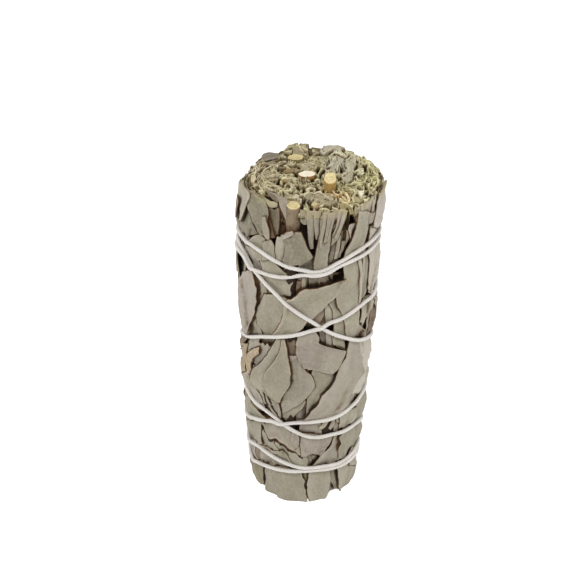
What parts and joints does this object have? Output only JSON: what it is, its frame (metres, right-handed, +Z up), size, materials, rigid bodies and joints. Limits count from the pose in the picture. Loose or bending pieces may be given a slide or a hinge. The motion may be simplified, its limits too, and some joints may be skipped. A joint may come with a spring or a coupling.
{
  "type": "sage smudge stick",
  "caption": "Dried sage leaves and stems pressed into a tapering bundle, bound crosswise with white cotton string and cut flat at both ends.",
  "frame": {"origin": "middle of the trimmed foot that the bundle stands on, at the bottom centre of its bounding box", "axes": "+Z up the bundle from the trimmed foot to the cut stems; the pictured front faces -Y; +X to the right of that front"},
  "size_m": [0.0396, 0.0432, 0.1052],
  "materials": {
    "leaf": "dry, velvety grey-green leaf",
    "pack": "folded dry leaf, cut edges showing",
    "stem": "thin brown bark, pale cut face",
    "string": "twisted cotton"
  },
  "bodies": {
    "root": {"leaf_right_outer": "leaf", "leaf_right_smooth": "leaf", "leaf_fan_left": "leaf", "leaf_fan_right": "leaf", "leaf_fan_middle": "leaf", "leaf_left_edge": "leaf", "leaf_left_tall": "leaf", "leaf_round": "leaf", "leaf_narrow": "leaf", "leaf_pentagon": "leaf", "leaf_left_long": "leaf", "leaf_fold_brown": "leaf", "leaf_right_narrow": "leaf", "leaf_oval": "leaf", "leaf_small_upper": "leaf", "leaf_diagonal": "leaf", "leaf_square": "leaf", "leaf_right_lower": "leaf", "leaf_long_green": "leaf", "leaf_long_smooth": "leaf", "leaf_pink": "leaf", "leaf_left_pale": "leaf", "leaf_torn_middle": "leaf", "leaf_diamond": "leaf", "leaf_torn_lower": "leaf", "leaf_left_lower": "leaf", "leaf_right_panel": "leaf", "leaf_middle_panel": "leaf", "leaf_foot_left": "leaf", "leaf_foot_wide": "leaf", "leaf_foot_middle": "leaf", "leaf_foot_right": "leaf", "leaf_back_1": "leaf", "leaf_back_2": "leaf", "leaf_back_3": "leaf", "leaf_back_4": "leaf", "leaf_back_5": "leaf", "leaf_back_6": "leaf", "leaf_back_7": "leaf", "leaf_back_8": "leaf", "leaf_back_9": "leaf", "pack_1": "pack", "pack_2": "pack", "pack_3": "pack", "pack_4": "pack", "pack_5": "pack", "pack_6": "pack", "pack_7": "pack", "pack_8": "pack", "pack_9": "pack", "pack_10": "pack", "pack_11": "pack", "pack_12": "pack", "stem_back": "stem", "stem_thick": "stem", "stem_slanted": "stem", "stem_front": "stem", "stem_pale": "stem", "stem_petiole": "stem", "string": "string"}
  },
  "joints": []
}
